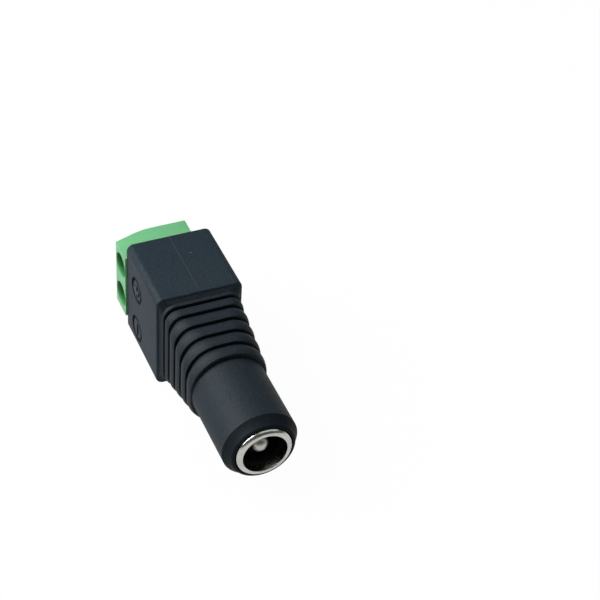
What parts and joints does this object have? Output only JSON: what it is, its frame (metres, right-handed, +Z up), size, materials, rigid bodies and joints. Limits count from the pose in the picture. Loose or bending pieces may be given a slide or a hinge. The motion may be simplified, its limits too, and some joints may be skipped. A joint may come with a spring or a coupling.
{
  "type": "dc jack to screw terminal adapter",
  "caption": "Overmoulded DC power jack with a ribbed relief and a green two-pole screw terminal with rising cage clamps.",
  "frame": {"origin": "middle of the jack's mouth, in the plane of the ring's front", "axes": "+X out of the mouth along the jack's axis, -Y the way the screw heads face, +Z up as the adapter lies, from the negative to the positive pole"},
  "size_m": [0.0404, 0.0122, 0.0148],
  "materials": {
    "black_overmould": "satin, lightly textured",
    "black_insulator": "smooth",
    "green_housing": "satin",
    "nickel_plate": "nickel plated, bright",
    "tinned_brass": "tin plated",
    "zinc_steel": "zinc plated",
    "solder": "dull solder",
    "red_insulation": "smooth",
    "black_insulation": "smooth"
  },
  "bodies": {
    "adapter": {"overmould_body": "black_overmould", "jack_shell": "nickel_plate", "jack_insulator": "black_insulator", "center_pin": "nickel_plate", "pin_tag": "tinned_brass", "sleeve_contact": "tinned_brass", "positive_lead": "tinned_brass", "positive_jacket": "red_insulation", "negative_lead": "tinned_brass", "negative_jacket": "black_insulation", "solder_joints": "solder", "terminal_housing": "green_housing", "contact_bar_1": "tinned_brass", "contact_bar_2": "tinned_brass"},
    "screw_1": {"clamp_screw_1": "zinc_steel"},
    "screw_2": {"clamp_screw_2": "zinc_steel"},
    "cage_1": {"clamp_cage_1": "zinc_steel"},
    "cage_2": {"clamp_cage_2": "zinc_steel"}
  },
  "joints": [
    {"name": "screw_1_turn", "type": "hinge", "parent": "adapter", "child": "screw_1", "pos_m": [-0.03705, 0, 0.00254], "axis": [0, 1, 0], "range_deg": [0, 1082]},
    {"name": "screw_2_turn", "type": "hinge", "parent": "adapter", "child": "screw_2", "pos_m": [-0.03705, 0, -0.00254], "axis": [0, 1, 0], "range_deg": [0, 1082]},
    {"name": "cage_1_rise", "type": "slide", "parent": "adapter", "child": "cage_1", "axis": [0, -1, 0], "range_m": [0, 0.00135]},
    {"name": "cage_2_rise", "type": "slide", "parent": "adapter", "child": "cage_2", "axis": [0, -1, 0], "range_m": [0, 0.00135]}
  ],
  "couplings": [
    {"joint": "screw_1_turn", "follows": "cage_1_rise", "rad_per_m": 13963},
    {"joint": "screw_2_turn", "follows": "cage_2_rise", "rad_per_m": 13963}
  ]
}
